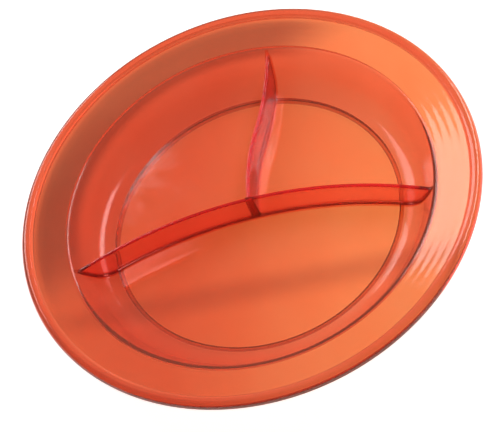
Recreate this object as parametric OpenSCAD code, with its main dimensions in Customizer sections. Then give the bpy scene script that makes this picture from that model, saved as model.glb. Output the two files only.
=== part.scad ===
// Round dinner plate with three food compartments, moulded in clear orange-red plastic.
// Millimetres, +Z up. The origin is the centre of the circle that the foot ring stands on.
// The large compartment faces -Y.

/* [Plate] */
// Diameter over the lip
plate_d = 254; // [236:1:280]
// Wall thickness of floor, well and rim
wall = 2.5; // [1.8:0.1:3.2]

/* [Well] */
// Depth from the well's upper edge to the floor
well_depth = 19.5; // [15:0.5:24]
// Slope of the well's wall, in degrees from level
wall_slope = 58; // [48:1:66]
// Radius of the cove between wall and floor
cove_r = 14.5; // [8:0.5:18]
// Radius of the shoulder between rim and wall
shoulder_r = 3; // [2.8:0.1:5]

/* [Rim and lip] */
// Width from the well's upper edge to the plate's outer edge
border_w = 25.8; // [20:0.2:32]
// Slope of the rim, in degrees from level
rim_slope = 11; // [6:1:20]
// Width of the raised lip
bead_w = 6.6; // [6:0.2:9]
// Height of the lip above the rim's surface
bead_rise = 0.9; // [0.5:0.1:1.4]
// Width of the ramp from the rim up to the lip
bead_ramp_w = 1.7; // [1.2:0.1:2.2]
// Radius of the lip's outer upper edge
bead_top_r = 3; // [1.4:0.1:3.2]
// Radius of the lip's outer lower edge
bead_low_r = 0.8; // [0.4:0.1:1]

/* [Foot ring] */
// Height of the foot ring
foot_h = 1.5; // [1:0.1:3]
// Width of the foot ring where it meets the floor
foot_w = 2.4; // [1.8:0.1:4]
// Width of the foot ring where it stands
foot_land_w = 1.6; // [1:0.1:1.8]
// Radius of the foot ring's standing edges
foot_edge_r = 0.4; // [0.2:0.05:0.45]

/* [Dividers] */
// Height of the dividers above the floor
divider_h = 16.8; // [10:0.2:17.4]
// Thickness of the dividers at the top
divider_top_w = 2; // [1.6:0.1:3]
// Thickness of the dividers at the floor
divider_foot_w = 2.9; // [2.4:0.1:4]
// Radius of the dividers' upper edges
divider_edge_r = 0.5; // [0.2:0.05:0.7]
// Flare at the foot of a divider, on each side
divider_flare = 0.6; // [0.3:0.1:1]

/* [Divider curves] */
// Plan radius of the divider that crosses the well
cross_r = 236; // [180:1:400]
// Distance of its crest behind the plate's centre
cross_crest_y = 2.2; // [0:0.1:8]
// Plan radius of the rear divider next to the crossing
rear_near_r = 125; // [100:1:200]
// Turn of the rear divider's first bend, in degrees
rear_near_turn = 20.7; // [10:0.1:26]
// Plan radius of the rear divider's second bend
rear_far_r = 200; // [160:1:400]

/* [Hidden] */
$fn = 180;
// Overrun of every cutting shape
over = 1;

clear_red = [0.93, 0.31, 0.15, 0.8];
clear_orange = [0.95, 0.46, 0.2, 0.8];
deep_red = [0.78, 0.16, 0.13, 0.85];

// Radii and levels of the well
plate_r = plate_d / 2;
well_r = plate_r - border_w;
floor_top = foot_h + wall;
edge_z = floor_top + well_depth;

// Unit vectors along a slope, and down into the material beneath it
function along(slope) = [cos(slope), sin(slope)];
function under(slope) = [sin(slope), -cos(slope)];

// The wall's surface line meets the floor's level and the rim's line at these two sharp corners
low_corner = [well_r - well_depth / tan(wall_slope), floor_top];
top_corner = [well_r, edge_z];

// Lengths that the cove and the shoulder take from the lines beside them
cove_cut = cove_r * tan(wall_slope / 2);
shoulder_turn = wall_slope - rim_slope;
shoulder_cut = shoulder_r * tan(shoulder_turn / 2);

floor_r = low_corner.x - cove_cut;
cove_centre = [floor_r, floor_top + cove_r];
wall_start = low_corner + cove_cut * along(wall_slope);
shoulder_centre = top_corner - shoulder_cut * along(wall_slope) + shoulder_r * under(wall_slope);
rim_start = top_corner + shoulder_cut * along(rim_slope);

// The same two corners on the underside, one wall further down
low_corner_below = low_corner + wall * [tan(wall_slope / 2), -1];
top_corner_below = top_corner + wall * (under(wall_slope) - tan(shoulder_turn / 2) * along(wall_slope));

// The rim ends square to its slope, where the lip begins
bead_start_r = plate_r - bead_w;
rim_end = [bead_start_r, edge_z + (bead_start_r - well_r) * tan(rim_slope)];
rim_end_low = rim_end + wall * under(rim_slope);

// Corners of the lip
bead_crest = rim_end + bead_ramp_w * along(rim_slope) - bead_rise * under(rim_slope);
bead_top_corner = [plate_r, bead_crest.y + (plate_r - bead_crest.x) * tan(rim_slope)];
bead_low_corner = [plate_r, rim_end_low.y];

// Lean of a divider's sides, and its half thickness at a height above the floor
divider_lean = atan((divider_foot_w - divider_top_w) / 2 / divider_h);
function divider_side_x(h) = divider_foot_w / 2 - h * tan(divider_lean);
divider_flare_x = divider_side_x(divider_flare) + divider_flare;
function divider_foot_points() = [[divider_flare_x, 0], [divider_side_x(divider_flare), divider_flare]];
divider_edge_centre = [
  divider_top_w / 2 - divider_edge_r * (1 - sin(divider_lean)) / cos(divider_lean),
  divider_h - divider_edge_r
];
// Steps of the arc that rounds a divider's upper edge
edge_steps = 4;

// Points on an arc, and a row of points mirrored in the upright axis and turned end to end
function arc_points(centre, r, from, to) = [
  for (i = [0:edge_steps]) centre + r * along(from + (to - from) * i / edge_steps)
];
function mirrored(points) = [for (i = [len(points) - 1:-1:0]) [-points[i].x, points[i].y]];

// Centre of the arc that the crossing divider follows, and the place where the rear one changes its bend
cross_centre = [0, cross_crest_y - cross_r];
rear_bend = [rear_near_r * (1 - cos(rear_near_turn)), cross_crest_y + rear_near_r * sin(rear_near_turn)];
// Half the angle that the crossing divider needs to reach past the wall on both sides
cross_half_turn = asin(plate_r / cross_r);
// Angle that the rear divider's second bend needs to reach past the wall
rear_far_turn = asin(plate_r / rear_far_r);

// What rounding takes off an outline's corner: a and b are the directions of the sides that leave it
module corner_waste(corner, a, b, r) {
  half = acos(a * b) / 2;
  inward = (a + b) / norm(a + b);
  centre = corner + inward * r / sin(half);
  difference() {
    polygon([corner - inward * over, corner + a * r / tan(half), centre, corner + b * r / tan(half)]);
    circle_at(centre, r);
  }
}

module circle_at(centre, r) {
  translate(centre) circle(r = r);
}

// Section of the well's wall, from the cove over the steep wall to the shoulder
module well_wall_section() {
  bend_cut = (shoulder_r - wall) * tan(shoulder_turn / 2);
  difference() {
    polygon([
      [floor_r, floor_top],
      wall_start,
      top_corner,
      rim_start,
      rim_start + wall * under(rim_slope),
      top_corner_below + bend_cut * along(rim_slope),
      top_corner_below - bend_cut * along(wall_slope),
      low_corner_below,
      [floor_r, foot_h]
    ]);
    circle_at(cove_centre, cove_r);
    circle_at(shoulder_centre, shoulder_r - wall);
    corner_waste(low_corner_below, [-1, 0], along(wall_slope), cove_r + wall);
    corner_waste(top_corner, -along(wall_slope), along(rim_slope), shoulder_r);
  }
}

// Section of the rim, a strip one wall thick
module rim_section() {
  polygon([rim_start, rim_end, rim_end_low, rim_start + wall * under(rim_slope)]);
}

// Section of the raised lip, with its outer edges rounded
module bead_section() {
  difference() {
    polygon([rim_end, bead_crest, bead_top_corner, bead_low_corner, rim_end_low]);
    corner_waste(bead_top_corner, [0, -1], -along(rim_slope), bead_top_r);
    corner_waste(bead_low_corner, [0, 1], [-1, 0], bead_low_r);
  }
}

// Section of the foot ring, narrower where it stands
module foot_section() {
  inset = (foot_w - foot_land_w) / 2;
  inner = floor_r - foot_w;
  side = [inset, foot_h] / norm([inset, foot_h]);
  difference() {
    polygon([
      [inner, foot_h],
      [inner + inset, 0],
      [floor_r - inset, 0],
      [floor_r, foot_h]
    ]);
    corner_waste([inner + inset, 0], [1, 0], [-side.x, side.y], foot_edge_r);
    corner_waste([floor_r - inset, 0], [-1, 0], side, foot_edge_r);
  }
}

// Half section of the room inside the well. The circle gives it the cove, and reaches above the edge.
module well_room_section() {
  polygon([[0, floor_top], [floor_r, floor_top], wall_start, top_corner, [0, edge_z]]);
  circle_at(cove_centre, cove_r);
}

// Section of a divider: a flared foot, drafted sides and rounded upper edges
module divider_section() {
  right_side = concat(divider_foot_points(), arc_points(divider_edge_centre, divider_edge_r, divider_lean, 90));
  polygon(concat(right_side, mirrored(right_side)));
}

// The same sides carried on past the top and the floor, to cut what meets a divider
module divider_cutter() {
  right_side = concat(
    [[divider_flare_x, -over]],
    divider_foot_points(),
    [[divider_side_x(divider_h + over), divider_h + over]]
  );
  polygon(concat(right_side, mirrored(right_side)));
}

// Sweeps a section along a plan arc of radius r about a centre, by a turn that starts at an angle
module sweep_along(centre, r, from, turn) {
  translate([centre.x, centre.y, 0])
    rotate([0, 0, from])
      rotate_extrude(angle = turn)
        translate([r, 0])
          children();
}

// The room inside the well, to which the dividers are cut
module well_room() {
  rotate_extrude() well_room_section();
}

// One half of the crossing divider, to the right of its crest or to the left of it
module cross_half(from) {
  intersection() {
    translate([0, 0, floor_top])
      sweep_along(cross_centre, cross_r, from, cross_half_turn) divider_section();
    well_room();
  }
}

// The whole S-shaped run of the rear divider, from the crest of the crossing one to past the wall.
// Its two arcs are drawn from the place where they meet, so that they share that section exactly.
module rear_run() {
  translate([rear_bend.x, rear_bend.y, floor_top])
    rotate([0, 0, -rear_near_turn]) {
      sweep_along([rear_near_r, 0], rear_near_r, 180, rear_near_turn) divider_section();
      sweep_along([-rear_far_r, 0], rear_far_r, 0, rear_far_turn) divider_section();
    }
}

// Takes the crossing divider's side off the rear one. Over the rear divider's thickness the crossing
// one bends by only a few thousandths of a millimetre, so the cut is straight.
module crossing_cut() {
  translate([0, cross_crest_y, floor_top])
    rotate([90, 0, 90])
      linear_extrude(height = well_r, center = true)
        divider_cutter();
}

module rim_bead() {
  color(deep_red)
    rotate_extrude() bead_section();
}

module rim() {
  color(clear_red)
    rotate_extrude() rim_section();
}

module well_wall() {
  color(clear_red)
    rotate_extrude() well_wall_section();
}

module well_floor() {
  color(clear_orange)
    translate([0, 0, foot_h])
      cylinder(r = floor_r, h = wall);
}

module foot_ring() {
  color(clear_orange)
    rotate_extrude() foot_section();
}

module divider_left() {
  color(deep_red)
    cross_half(90);
}

module divider_right() {
  color(deep_red)
    cross_half(90 - cross_half_turn);
}

module divider_rear() {
  color(deep_red)
    difference() {
      intersection() {
        rear_run();
        well_room();
      }
      crossing_cut();
    }
}

rim_bead();
rim();
well_wall();
well_floor();
foot_ring();
divider_left();
divider_right();
divider_rear();
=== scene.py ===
import math

import bmesh
import bpy
from mathutils import Matrix, Vector


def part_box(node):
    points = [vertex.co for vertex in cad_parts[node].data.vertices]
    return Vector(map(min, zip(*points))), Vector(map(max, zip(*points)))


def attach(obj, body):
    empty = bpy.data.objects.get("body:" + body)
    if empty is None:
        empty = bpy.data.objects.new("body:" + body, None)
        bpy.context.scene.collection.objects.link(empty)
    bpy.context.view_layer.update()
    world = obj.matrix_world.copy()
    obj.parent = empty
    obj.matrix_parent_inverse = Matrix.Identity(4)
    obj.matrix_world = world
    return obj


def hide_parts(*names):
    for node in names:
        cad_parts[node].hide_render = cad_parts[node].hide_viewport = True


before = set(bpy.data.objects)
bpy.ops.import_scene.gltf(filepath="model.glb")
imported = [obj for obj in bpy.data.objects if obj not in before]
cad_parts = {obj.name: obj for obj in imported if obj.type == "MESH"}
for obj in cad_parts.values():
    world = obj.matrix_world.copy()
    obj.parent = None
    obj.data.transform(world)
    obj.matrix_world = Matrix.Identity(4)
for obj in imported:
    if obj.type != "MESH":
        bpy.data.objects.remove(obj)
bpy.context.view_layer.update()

MM = 0.001

# Sizes of the moulding in metres, as in the part's source, but for the shoulder, which is rounder here
plate_r = min(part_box("rim_bead")[1].x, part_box("rim_bead")[1].y)
floor_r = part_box("well_floor")[1].x
foot_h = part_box("foot_ring")[1].z
floor_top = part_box("well_floor")[1].z
wall = floor_top - foot_h
border_w = 25.8 * MM
well_depth = 19.5 * MM
wall_slope = math.radians(58)
cove_r = 14.5 * MM
shoulder_r = 4 * MM
rim_slope = math.radians(11)
bead_w = 6.6 * MM
bead_rise = 0.9 * MM
bead_ramp_w = 1.7 * MM
bead_top_r = 3 * MM
bead_low_r = 0.8 * MM
bead_crest_r = 0.7 * MM
foot_w = 2.4 * MM
foot_land_w = 1.6 * MM
foot_edge_r = 0.4 * MM

# The faint rings on the rim, which the source leaves out
ripple_pitch = 4.4 * MM
ripple_depth = 0.045 * MM
ripple_steps = 80

# Sizes of the dividers; the fillets and the tips' blend are the scene's own
divider_h = 16.8 * MM
divider_top_w = 2 * MM
divider_foot_w = 2.9 * MM
divider_edge_r = 0.7 * MM
divider_fillet_r = 1.1 * MM
corner_fillet_r = 1.2 * MM
tip_blend = 2.4 * MM
cross_r = 236 * MM
cross_crest_y = 2.2 * MM
rear_near_r = 125 * MM
rear_near_turn = math.radians(20.7)
rear_far_r = 200 * MM

# Neighbouring pieces run into each other by this hair, so that light passes from one to the next
hair = 0.03 * MM

# How finely the pieces are divided
around = 384
arc_steps = 12
fillet_steps = 6
side_steps = 3
bottom_steps = 8
long_step = 1.5 * MM
short_step = 0.3 * MM
junction_steps = 14
crease_angle = math.radians(32)


def along(slope):
    return Vector((math.cos(slope), math.sin(slope)))


def under(slope):
    return Vector((math.sin(slope), -math.cos(slope)))


def arc(centre, r, start, end, steps=arc_steps):
    """Points on an arc, angles in radians."""
    return [centre + r * along(start + (end - start) * i / steps) for i in range(steps + 1)]


# Corners and centres of the plate's section
well_r = plate_r - border_w
edge_z = floor_top + well_depth
low_corner = Vector((well_r - well_depth / math.tan(wall_slope), floor_top))
top_corner = Vector((well_r, edge_z))
cove_cut = cove_r * math.tan(wall_slope / 2)
shoulder_cut = shoulder_r * math.tan((wall_slope - rim_slope) / 2)
cove_centre = Vector((floor_r, floor_top + cove_r))
wall_start = low_corner + cove_cut * along(wall_slope)
shoulder_start = top_corner - shoulder_cut * along(wall_slope)
shoulder_centre = shoulder_start + shoulder_r * under(wall_slope)
rim_start = top_corner + shoulder_cut * along(rim_slope)
bead_start_r = plate_r - bead_w
rim_end = Vector((bead_start_r, edge_z + (bead_start_r - well_r) * math.tan(rim_slope)))
rim_end_low = rim_end + wall * under(rim_slope)
bead_crest = rim_end + bead_ramp_w * along(rim_slope) - bead_rise * under(rim_slope)
bead_top_corner = Vector((plate_r, bead_crest.y + (plate_r - bead_crest.x) * math.tan(rim_slope)))
bead_low_corner = Vector((plate_r, rim_end_low.y))


def rounded(corners, radii):
    """The outline through the corners, each rounded with its own radius."""
    outline = []
    for i, corner in enumerate(corners):
        r = radii[i]
        if r == 0:
            outline.append(corner)
            continue
        a = (corners[i - 1] - corner).normalized()
        b = (corners[(i + 1) % len(corners)] - corner).normalized()
        half = a.angle(b) / 2
        centre = corner + (a + b).normalized() * r / math.sin(half)
        first = corner + a * r / math.tan(half) - centre
        last = corner + b * r / math.tan(half) - centre
        start = math.atan2(first.y, first.x)
        turn = (math.atan2(last.y, last.x) - start + math.pi) % (2 * math.pi) - math.pi
        outline += arc(centre, r, start, start + turn, arc_steps)
    return outline


def wall_section():
    """The cove, the steep wall and the shoulder, one wall thick."""
    up = math.pi / 2
    upper = arc(cove_centre, cove_r, -up, wall_slope - up, 2 * arc_steps)
    upper += arc(shoulder_centre, shoulder_r, wall_slope + up, rim_slope + up)
    lower = arc(shoulder_centre, shoulder_r - wall, rim_slope + up, wall_slope + up)
    lower += arc(cove_centre, cove_r + wall, wall_slope - up, -up, 2 * arc_steps)
    return upper + lower


def rim_section():
    """A strip one wall thick, with faint rings in its upper side, as a turned mould leaves them."""
    reach = hair * along(rim_slope)
    start_low = rim_start + wall * under(rim_slope)
    width = (rim_end - rim_start).length
    upper = [rim_start - reach]
    for i in range(1, ripple_steps):
        s = width * i / ripple_steps
        depth = ripple_depth * (1 - math.cos(2 * math.pi * s / ripple_pitch)) / 2
        upper.append(rim_start + s * along(rim_slope) + depth * under(rim_slope))
    return upper + [rim_end + reach, rim_end_low + reach, start_low - reach]


def bead_section():
    """The raised lip."""
    corners = [rim_end, bead_crest, bead_top_corner, bead_low_corner, rim_end_low]
    radii = [0, bead_crest_r, bead_top_r, bead_low_r, 0]
    return rounded(corners, radii)


def floor_section():
    """Half of the flat disc, from the axis outwards."""
    edge = floor_r + hair
    return [Vector((0, floor_top)), Vector((edge, floor_top)), Vector((edge, foot_h)), Vector((0, foot_h))]


def foot_section():
    """The low ring under the floor's edge, narrower where it stands."""
    inset = (foot_w - foot_land_w) / 2
    inner = floor_r - foot_w
    top = foot_h + hair
    corners = [(inner, top), (floor_r, top), (floor_r - inset, 0), (inner + inset, 0)]
    return rounded([Vector(corner) for corner in corners], [0, 0, foot_edge_r, foot_edge_r])


def ground(r):
    """Height of the plate's upper surface inside the rim at a distance from the axis."""
    if r <= floor_r:
        return floor_top
    if r <= wall_start.x:
        return cove_centre.y - math.sqrt(cove_r ** 2 - (r - floor_r) ** 2)
    if r <= shoulder_start.x:
        return wall_start.y + (r - wall_start.x) * math.tan(wall_slope)
    if r <= rim_start.x:
        return shoulder_centre.y + math.sqrt(shoulder_r ** 2 - (r - shoulder_centre.x) ** 2)
    return rim_start.y + (r - rim_start.x) * math.tan(rim_slope)


# Making meshes
def signed_volume(mesh):
    """Negative where a mesh's faces point inwards."""
    shape = bmesh.new()
    shape.from_mesh(mesh)
    volume = shape.calc_volume(signed=True)
    shape.free()
    return volume


def new_piece(name, points, faces, nodes, material):
    """A closed mesh, smooth but for its creases, that stands for CAD nodes."""
    mesh = bpy.data.meshes.new(name)
    mesh.from_pydata(points, [], faces)
    mesh.update()
    if signed_volume(mesh) < 0:
        mesh.flip_normals()
    piece = bpy.data.objects.new(name, mesh)
    bpy.context.scene.collection.objects.link(piece)
    mesh.polygons.foreach_set("use_smooth", [True] * len(mesh.polygons))
    mesh.set_sharp_from_angle(angle=crease_angle)
    mesh.materials.append(material)
    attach(piece, "root")
    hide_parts(*nodes)


def revolve(section):
    """Points and faces of a section turned round the axis, with outward faces."""
    area = sum(a.x * b.y - b.x * a.y for a, b in zip(section, section[1:] + section[:1]))
    if area < 0:
        section = section[::-1]
    points = []
    rings = []
    for p in section:
        if p.x == 0:
            rings.append([len(points)] * around)
            points.append((0, 0, p.y))
            continue
        rings.append([len(points) + k for k in range(around)])
        for k in range(around):
            turn = 2 * math.pi * k / around
            points.append((p.x * math.cos(turn), p.x * math.sin(turn), p.y))
    faces = []
    for i, ring in enumerate(rings):
        other = rings[(i + 1) % len(rings)]
        if ring[0] == ring[1] and other[0] == other[1]:
            continue
        for k in range(around):
            j = (k + 1) % around
            face = [ring[k], ring[j], other[j], other[k]]
            faces.append(list(dict.fromkeys(face)))
    return points, faces


# Dividers
divider_lean = math.atan((divider_foot_w - divider_top_w) / 2 / divider_h)
divider_top_z = floor_top + divider_h


def side_x(z):
    """Half thickness of a divider at a height."""
    return divider_foot_w / 2 - (z - floor_top) * math.tan(divider_lean)


def smooth_max(a, b, blend):
    """The larger of two heights, with a soft turn from one to the other."""
    return max(a, b) + max(blend - abs(a - b), 0) ** 2 / (4 * blend)


def ground_at(p):
    return ground(math.hypot(p.x, p.y))


def half_section(place, side, crown_z, spread):
    """Points on one side of a divider's section, from foot to crown, and the half width at the foot.

    place is the section's centre in plan, side the unit vector to that side, and spread widens the foot."""
    room = crown_z - ground_at(place)
    full = divider_fillet_r + divider_edge_r + short_step
    scale = min(1, room / full)
    fillet = divider_fillet_r * scale
    edge = divider_edge_r * scale
    foot_x = side_x(ground_at(place) + fillet) + spread
    points = []
    for i in range(fillet_steps + 1):
        turn = math.pi / 2 * i / fillet_steps
        x = foot_x + fillet * (1 - math.sin(turn))
        spot = place + side * x
        points.append((spot.x, spot.y, ground_at(spot) + fillet * (1 - math.cos(turn))))
    low_z = points[-1][2]
    edge_z0 = crown_z - edge * (1 - math.sin(divider_lean))
    for i in range(1, side_steps + 1):
        z = low_z + (edge_z0 - low_z) * i / (side_steps + 1)
        spot = place + side * (side_x(z) + spread)
        points.append((spot.x, spot.y, z))
    centre_x = side_x(edge_z0) - edge * math.cos(divider_lean)
    for i in range(fillet_steps + 1):
        turn = divider_lean + (math.pi / 2 - divider_lean) * i / fillet_steps
        x = centre_x + edge * math.cos(turn) + spread
        spot = place + side * x
        points.append((spot.x, spot.y, crown_z - edge + edge * math.sin(turn)))
    return points, foot_x + fillet


def ring_at(place, side, spread=0):
    """The closed loop of a divider's section at a place in plan."""
    crown_z = smooth_max(divider_top_z, ground_at(place), tip_blend)
    one, width_one = half_section(place, side, crown_z, spread)
    other, width_other = half_section(place, -side, crown_z, spread)
    crown = (place.x, place.y, crown_z)
    bottom = []
    for i in range(bottom_steps + 1):
        x = -width_other + (width_one + width_other) * i / bottom_steps
        spot = place + side * x
        bottom.append((spot.x, spot.y, ground_at(spot) - hair))
    return one + [crown] + other[::-1] + bottom


def sweep(rings):
    """Points and faces of a closed mesh through a row of rings."""
    points = [p for ring in rings for p in ring]
    count = len(rings[0])
    faces = []
    for i in range(len(rings) - 1):
        for k in range(count):
            j = (k + 1) % count
            a = i * count
            b = a + count
            faces.append((a + k, b + k, b + j, a + j))
    faces.append(tuple(range(count)))
    faces.append(tuple(range(len(points) - 1, len(points) - count - 1, -1)))
    return points, faces


def stations(place_at, length):
    """Distances along a path, close together where it climbs the wall, up to the end of the tip's blend."""
    found = [0]
    s = 0
    while s < length:
        r = place_at(s).length
        s += long_step if r < floor_r - 2 * long_step else short_step
        if ground_at(place_at(s)) >= divider_top_z + tip_blend - short_step / 4:
            break
        found.append(s)
    return found


def cross_place(s):
    """A place on the crossing divider, s metres to the right of its crest."""
    turn = s / cross_r
    return Vector((cross_r * math.sin(turn), cross_crest_y - cross_r + cross_r * math.cos(turn)))


def cross_side(s):
    """The unit vector to the far side of the crossing divider."""
    turn = s / cross_r
    return Vector((math.sin(turn), math.cos(turn)))


def cross_rings(sign):
    """Sections of one half of the crossing divider, to the right for 1 and to the left for -1."""
    found = stations(lambda s: cross_place(sign * s), plate_r)
    rings = [ring_at(cross_place(-sign * hair), cross_side(0))]
    rings += [ring_at(cross_place(sign * s), cross_side(sign * s)) for s in found[1:]]
    return rings if sign > 0 else rings[::-1]


rear_bend = Vector((
    rear_near_r * (1 - math.cos(rear_near_turn)),
    cross_crest_y + rear_near_r * math.sin(rear_near_turn),
))
rear_near_length = rear_near_r * rear_near_turn


def rear_place(s):
    """A place on the rear divider, s metres from the crossing divider's middle line."""
    if s <= rear_near_length:
        turn = s / rear_near_r
        return Vector((rear_near_r * (1 - math.cos(turn)), cross_crest_y + rear_near_r * math.sin(turn)))
    turn = rear_near_turn - (s - rear_near_length) / rear_far_r
    centre = rear_bend + rear_far_r * Vector((-math.cos(rear_near_turn), math.sin(rear_near_turn)))
    return centre + rear_far_r * Vector((math.cos(turn), -math.sin(turn)))


def rear_side(s):
    """The unit vector to the right side of the rear divider."""
    step = short_step / 2
    ahead = (rear_place(s + step) - rear_place(max(s - step, 0))).normalized()
    return Vector((ahead.y, -ahead.x))


def corner_spread(gap):
    """How much a fillet widens the rear divider at a gap from the crossing divider's face."""
    if gap >= corner_fillet_r:
        return 0
    return corner_fillet_r - math.sqrt(corner_fillet_r ** 2 - (corner_fillet_r - max(gap, 0)) ** 2)


def rear_rings():
    """Sections of the rear divider, closest together where it leaves the crossing one."""
    found = [s for s in stations(rear_place, plate_r) if s > 0]
    face = divider_top_w / 2
    near = [face - hair + short_step * i for i in range(junction_steps)]
    far = [s for s in found if s > near[-1] + short_step]
    return [ring_at(rear_place(s), rear_side(s), corner_spread(s - face)) for s in near + far]


# Materials: what the plastic does to light; the wall's index is lower so that its cove mirrors less
plastic_ior = 1.49
wall_ior = 1.38
plate_clearness = 0.84
divider_clearness = 0.96

# Body colours, each a pair between which the plastic is faintly clouded
plate_clouds = ((1, 0.4, 0.23), (1, 0.52, 0.33))
divider_clouds = ((1, 0.55, 0.4), (1, 0.65, 0.5))
cloud_scale = 30
cloud_detail = 3

# Polish, as roughness: smooth with slightly duller spots, and duller in the cove
polish_scale = 120
polish_detail = 4
polish_noise_low = 0.3
polish_noise_high = 0.7
polish_low = 0.04
polish_high = 0.09
cove_dull = 0.06

# The faint waves of a moulded surface
wave_scale = 160
wave_detail = 2
wave_height = 0.02 * MM

# What the plastic lets through, and how strongly the rest is held back
orange_tint = (0.995, 0.735, 0.57)
# The wall's tint is deeper than the rest's: painted shade on the one plastic of the moulding
wall_tint_and_shade = (0.972, 0.62, 0.53)
# The lip's tint is deeper in red than the rest's: painted shade on the one plastic of the moulding
lip_tint_and_shade = (0.955, 0.69, 0.58)
# The foot's tint is nearly clear: painted light, so that the line at the floor's edge shows less dark
foot_tint_and_light = (0.998, 0.99, 0.95)
divider_tint = (0.998, 0.88, 0.95)
absorb_density = 1200


def place_of(tree):
    """The place on an object, in the plate's own space."""
    return tree.nodes.new("ShaderNodeTexCoord").outputs["Object"]


def place_noise(tree, scale, detail):
    """Noise over the plate's own space; scale counts its cells in a metre."""
    noise = tree.nodes.new("ShaderNodeTexNoise")
    noise.inputs["Scale"].default_value = scale
    noise.inputs["Detail"].default_value = detail
    tree.links.new(place_of(tree), noise.inputs["Vector"])
    return noise.outputs["Fac"]


def vector_node(tree, operation, first, second=None):
    """A vector calculation on a node's output and, where there is one, a fixed vector."""
    node = tree.nodes.new("ShaderNodeVectorMath")
    node.operation = operation
    tree.links.new(first, node.inputs[0])
    if second is not None:
        node.inputs[1].default_value = second
    return node


def number_node(tree, operation, first, second):
    """A calculation on the outputs of two nodes."""
    node = tree.nodes.new("ShaderNodeMath")
    node.operation = operation
    tree.links.new(first, node.inputs[0])
    tree.links.new(second, node.inputs[1])
    return node.outputs["Value"]


def ramp(tree, value, low, high, low_value, high_value):
    """A smooth step of a value between two results."""
    span = tree.nodes.new("ShaderNodeMapRange")
    span.interpolation_type = "SMOOTHSTEP"
    span.inputs["From Min"].default_value = low
    span.inputs["From Max"].default_value = high
    span.inputs["To Min"].default_value = low_value
    span.inputs["To Max"].default_value = high_value
    tree.links.new(value, span.inputs["Value"])
    return span.outputs["Result"]


def blend(tree, factor, first, second):
    """Mixes two colours, each a fixed colour or a node's output."""
    mix = tree.nodes.new("ShaderNodeMix")
    mix.data_type = "RGBA"
    tree.links.new(factor, mix.inputs["Factor"])
    for name, colour in (("A", first), ("B", second)):
        if isinstance(colour, tuple):
            mix.inputs[name].default_value = (*colour, 1)
        else:
            tree.links.new(colour, mix.inputs[name])
    return mix.outputs["Result"]


def polish_of(tree):
    """Roughness with slightly duller spots."""
    spots = place_noise(tree, polish_scale, polish_detail)
    return ramp(tree, spots, polish_noise_low, polish_noise_high, polish_low, polish_high)


def soft_cove(tree, polish):
    """Adds the duller polish of the cove to a roughness."""
    flat = vector_node(tree, "MULTIPLY", place_of(tree), (1, 1, 0)).outputs["Vector"]
    radius = vector_node(tree, "LENGTH", flat).outputs["Value"]
    dull = ramp(tree, radius, wall_start.x, shoulder_start.x, cove_dull, 0)
    return number_node(tree, "ADD", dull, polish)


def clear_plastic(name, tint, ior=plastic_ior, clearness=plate_clearness, clouds=plate_clouds, finish=None):
    """Tinted plastic, mostly clear, glossy, faintly clouded and wavy, and deeper in colour where thick."""
    material = bpy.data.materials.new(name)
    material.use_nodes = True
    tree = material.node_tree
    shader = tree.nodes["Principled BSDF"]
    shader.inputs["Transmission Weight"].default_value = clearness
    shader.inputs["IOR"].default_value = ior
    cloud = blend(tree, place_noise(tree, cloud_scale, cloud_detail), *clouds)
    tree.links.new(cloud, shader.inputs["Base Color"])
    polish = polish_of(tree)
    tree.links.new(finish(tree, polish) if finish else polish, shader.inputs["Roughness"])
    waves = tree.nodes.new("ShaderNodeBump")
    waves.inputs["Distance"].default_value = wave_height
    tree.links.new(place_noise(tree, wave_scale, wave_detail), waves.inputs["Height"])
    tree.links.new(waves.outputs["Normal"], shader.inputs["Normal"])
    absorb = tree.nodes.new("ShaderNodeVolumeAbsorption")
    absorb.inputs["Color"].default_value = (*tint, 1)
    absorb.inputs["Density"].default_value = absorb_density
    tree.links.new(absorb.outputs["Volume"], tree.nodes["Material Output"].inputs["Volume"])
    return material


# The paper under the plate
paper_reach = 6
paper_drop = 0.05 * MM
paper_colour = (0.8, 0.8, 0.79)
paper_roughness = 0.9

# The paper isn't plain: it gives light, and colours and dark parts are painted into that light so that
# they are seen through the plate. These are its colours under the plate, in the dark parts and around.
shade_dim = (0.58, 0.39, 0.31)
shade_bright = (0.92, 1.42, 1.15)
shade_dark = (0.06, 0.0, 0.0)
glow_outside = (0.95, 0.95, 0.94)

# The painted shade is a disc as wide as the plate, moved away from the camera to where the camera sees
# it through the plate. Sides are the camera's right and away, and starts and ends are shares of the radius.
shade_shift = 19 * MM
outside_start, outside_end = 0.99, 1.04
bright_side = (0.88, -0.47)
bright_start, bright_end = -0.45, 0.8

# A painted shadow band inside the disc's edge at one side: the plate's own shadow, seen through the rim
dark_side = (-0.42, 0.91)
dark_start, dark_end = 0.35, 0.68
band_start, band_end = 0.74, 0.82
band_fade_start, band_fade_end = 0.93, 1.0

# A painted stripe that stands for the crossing divider's soft shadow
shadow_side = (0.313, 0.95)
shadow_near, shadow_middle, shadow_far = -0.44, -0.33, -0.23
shadow_depth = 0.35


def reach_towards(tree, direction):
    """How far a place on the paper lies towards a side."""
    return vector_node(tree, "DOT_PRODUCT", place_of(tree), turned(*direction, 0)).outputs["Value"]


def share_ramp(tree, value, low, high, low_value, high_value):
    """A ramp between two shares of the plate's radius."""
    return ramp(tree, value, low * plate_r, high * plate_r, low_value, high_value)


def painted_shadow_band(tree, distance):
    """How strongly the painted shadow band covers a place on the paper."""
    start = share_ramp(tree, distance, band_start, band_end, 0, 1)
    fade = share_ramp(tree, distance, band_fade_start, band_fade_end, 1, 0)
    side = share_ramp(tree, reach_towards(tree, dark_side), dark_start, dark_end, 0, 1)
    return number_node(tree, "MULTIPLY", number_node(tree, "MULTIPLY", start, fade), side)


def divider_shadow(tree):
    """How strongly the stripe covers a place on the paper."""
    reach = reach_towards(tree, shadow_side)
    near = share_ramp(tree, reach, shadow_near, shadow_middle, 0, shadow_depth)
    far = share_ramp(tree, reach, shadow_middle, shadow_far, 1, 0)
    return number_node(tree, "MULTIPLY", near, far)


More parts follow.
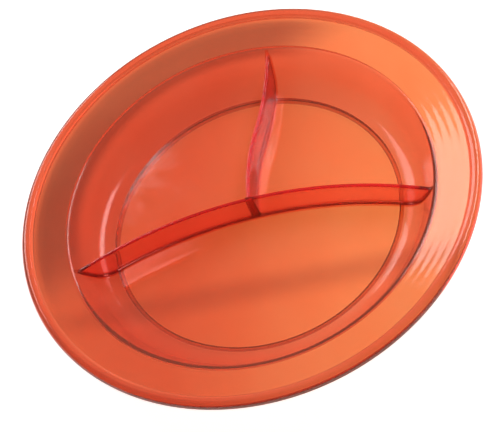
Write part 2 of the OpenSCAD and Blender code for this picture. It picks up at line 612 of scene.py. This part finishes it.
def paper_glow(tree):
    """The paper's own light: white around the plate, and painted in several tones under it."""
    lit = share_ramp(tree, reach_towards(tree, bright_side), bright_start, bright_end, 0, 1)
    shade = blend(tree, lit, shade_dim, shade_bright)
    centre = turned(0, shade_shift, 0)
    distance = vector_node(tree, "DISTANCE", place_of(tree), centre).outputs["Value"]
    shade = blend(tree, painted_shadow_band(tree, distance), shade, shade_dark)
    shade = blend(tree, divider_shadow(tree), shade, shade_dark)
    outside = share_ramp(tree, distance, outside_start, outside_end, 0, 1)
    return blend(tree, outside, shade, glow_outside)


def stage_floor():
    """A large sheet of paper, a hair below the plate's foot, which glows with painted light and shade."""
    mesh = bpy.data.meshes.new("stage_floor")
    corners = [(-paper_reach, -paper_reach), (paper_reach, -paper_reach)]
    corners += [(paper_reach, paper_reach), (-paper_reach, paper_reach)]
    mesh.from_pydata([(x, y, -paper_drop) for x, y in corners], [], [(0, 1, 2, 3)])
    floor = bpy.data.objects.new("stage_floor", mesh)
    bpy.context.scene.collection.objects.link(floor)
    material = bpy.data.materials.new("stage_paper")
    material.use_nodes = True
    shader = material.node_tree.nodes["Principled BSDF"]
    shader.inputs["Base Color"].default_value = (*paper_colour, 1)
    shader.inputs["Roughness"].default_value = paper_roughness
    shader.inputs["Specular IOR Level"].default_value = 0
    shader.inputs["Emission Strength"].default_value = 1
    glow = paper_glow(material.node_tree)
    material.node_tree.links.new(glow, shader.inputs["Emission Color"])
    mesh.materials.append(material)


# Camera, at the photograph's viewing angle
image_w = 500
focal_px = 1905.28
sensor_w = 36
camera_azimuth = math.radians(15.72)
camera_rise = math.radians(52.36)
camera_distance = 8 * plate_r
camera_roll = math.radians(-26.168)
outline_z = 26.1 * MM
aim_right = -0.021 * plate_r
aim_away = -0.101 * plate_r


def turned(x, y, z):
    """A direction given as right, away and up from the camera's side, in the plate's frame."""
    c = math.cos(camera_azimuth)
    s = math.sin(camera_azimuth)
    return Vector((c * x - s * y, s * x + c * y, z))


def place_camera():
    aim = turned(aim_right, aim_away, outline_z)
    away = turned(0, -math.cos(camera_rise) * camera_distance, math.sin(camera_rise) * camera_distance)
    eye = away + Vector((0, 0, outline_z))
    ahead = (aim - eye).normalized()
    right = ahead.cross(Vector((0, 0, 1))).normalized()
    up = right.cross(ahead)
    rolled_right = math.cos(camera_roll) * right + math.sin(camera_roll) * up
    rolled_up = math.cos(camera_roll) * up - math.sin(camera_roll) * right
    data = bpy.data.cameras.new("camera")
    data.sensor_width = sensor_w
    data.lens = focal_px / image_w * sensor_w
    camera = bpy.data.objects.new("camera", data)
    bpy.context.scene.collection.objects.link(camera)
    turn = Matrix((rolled_right, rolled_up, -ahead)).transposed()
    camera.matrix_world = Matrix.Translation(eye) @ turn.to_4x4()
    bpy.context.scene.camera = camera


# Light: angles in degrees and sizes in metres
sky_light = 0.06
box_distance = 2.5
back_box = dict(azimuth=-22, rise=37, width=1.1, height=1.2, radiance=4.7, roll=0)
right_box = dict(azimuth=62, rise=42, width=0.7, height=1.9, radiance=7.5, roll=-48)


def soft_box(name, azimuth, rise, width, height, radiance, roll):
    """A rectangular light that faces the plate; azimuth runs from straight behind towards the right."""
    a = math.radians(azimuth)
    e = math.radians(rise)
    direction = turned(math.sin(a) * math.cos(e), math.cos(a) * math.cos(e), math.sin(e))
    data = bpy.data.lights.new(name, "AREA")
    data.shape = "RECTANGLE"
    data.size = width
    data.size_y = height
    data.energy = radiance * math.pi * width * height
    light = bpy.data.objects.new(name, data)
    bpy.context.scene.collection.objects.link(light)
    facing = direction.to_track_quat("Z", "Y").to_matrix().to_4x4()
    facing = facing @ Matrix.Rotation(-math.radians(roll), 4, "Z")
    light.matrix_world = Matrix.Translation(direction * box_distance) @ facing


def light_world(radiance):
    """An even white sky."""
    world = bpy.data.worlds.new("studio")
    world.use_nodes = True
    world.node_tree.nodes["Background"].inputs["Color"].default_value = (1, 1, 1, 1)
    world.node_tree.nodes["Background"].inputs["Strength"].default_value = radiance
    bpy.context.scene.world = world


place_camera()
stage_floor()
light_world(sky_light)
soft_box("box_back", **back_box)
soft_box("box_right", **right_box)
bpy.context.scene.view_settings.view_transform = "Standard"

# Light that the plastic turns back inside itself goes dark unless it may bounce often
bounces = 64
bpy.context.scene.cycles.max_bounces = bounces
bpy.context.scene.cycles.glossy_bounces = bounces
bpy.context.scene.cycles.transmission_bounces = bounces

clear_orange = clear_plastic("clear_orange", orange_tint)
clear_wall = clear_plastic("clear_wall", wall_tint_and_shade, ior=wall_ior, finish=soft_cove)
clear_foot = clear_plastic("clear_foot", foot_tint_and_light)
clear_lip = clear_plastic("clear_lip", lip_tint_and_shade)
clear_divider = clear_plastic(
    "clear_divider", divider_tint, clearness=divider_clearness, clouds=divider_clouds
)
new_piece("floor_disc", *revolve(floor_section()), ["well_floor"], clear_orange)
new_piece("foot", *revolve(foot_section()), ["foot_ring"], clear_foot)
new_piece("wall_bowl", *revolve(wall_section()), ["well_wall"], clear_wall)
new_piece("rim_band", *revolve(rim_section()), ["rim"], clear_orange)
new_piece("lip", *revolve(bead_section()), ["rim_bead"], clear_lip)
new_piece("cross_right", *sweep(cross_rings(1)), ["divider_right"], clear_divider)
new_piece("cross_left", *sweep(cross_rings(-1)), ["divider_left"], clear_divider)
new_piece("rear_curve", *sweep(rear_rings()), ["divider_rear"], clear_divider)
